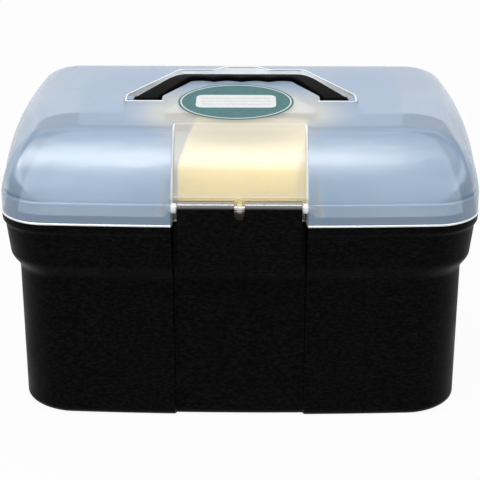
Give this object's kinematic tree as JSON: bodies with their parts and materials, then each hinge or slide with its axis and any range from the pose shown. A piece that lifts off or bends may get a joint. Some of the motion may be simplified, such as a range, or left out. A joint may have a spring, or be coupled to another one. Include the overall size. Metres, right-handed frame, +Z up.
{
  "type": "horse grooming box",
  "caption": "Horse grooming box: black moulded tub, hinged frosted dome lid with a sunk swing handle, front snap latch, lift-out tray and a sponge inside",
  "frame": {"origin": "middle of the flat bottom of the tub", "axes": "+X to the right, front towards -Y, +Z up"},
  "size_m": [0.33, 0.2459, 0.2038],
  "materials": {
    "black_plastic": "satin",
    "frosted_plastic": "frosted",
    "handle_plastic": "satin",
    "tray_plastic": "satin",
    "steel": "bright",
    "foam": "porous foam",
    "label": "printed film"
  },
  "bodies": {
    "tub": {"base_tub": "black_plastic", "rear_hinge_pin_left": "steel", "rear_hinge_pin_right": "steel", "lift_out_tray": "tray_plastic", "grooming_sponge": "foam"},
    "lid": {"lid_shell": "frosted_plastic", "name_label": "label", "latch_hinge_pin": "steel"},
    "handle": {"carry_handle": "handle_plastic"},
    "latch": {"front_latch": "handle_plastic"}
  },
  "joints": [
    {"name": "lid_hinge", "type": "hinge", "parent": "tub", "child": "lid", "pos_m": [0, 0.12, 0.1425], "axis": [-1, 0, 0], "range_deg": [0, 105]},
    {"name": "handle_swing", "type": "hinge", "parent": "lid", "child": "handle", "pos_m": [0, -0.005, 0.1968], "axis": [1, 0, 0], "range_deg": [0, 90]},
    {"name": "latch_swing", "type": "hinge", "parent": "lid", "child": "latch", "pos_m": [0, -0.1154, 0.1578], "axis": [-1, 0, 0], "range_deg": [0, 110]}
  ]
}
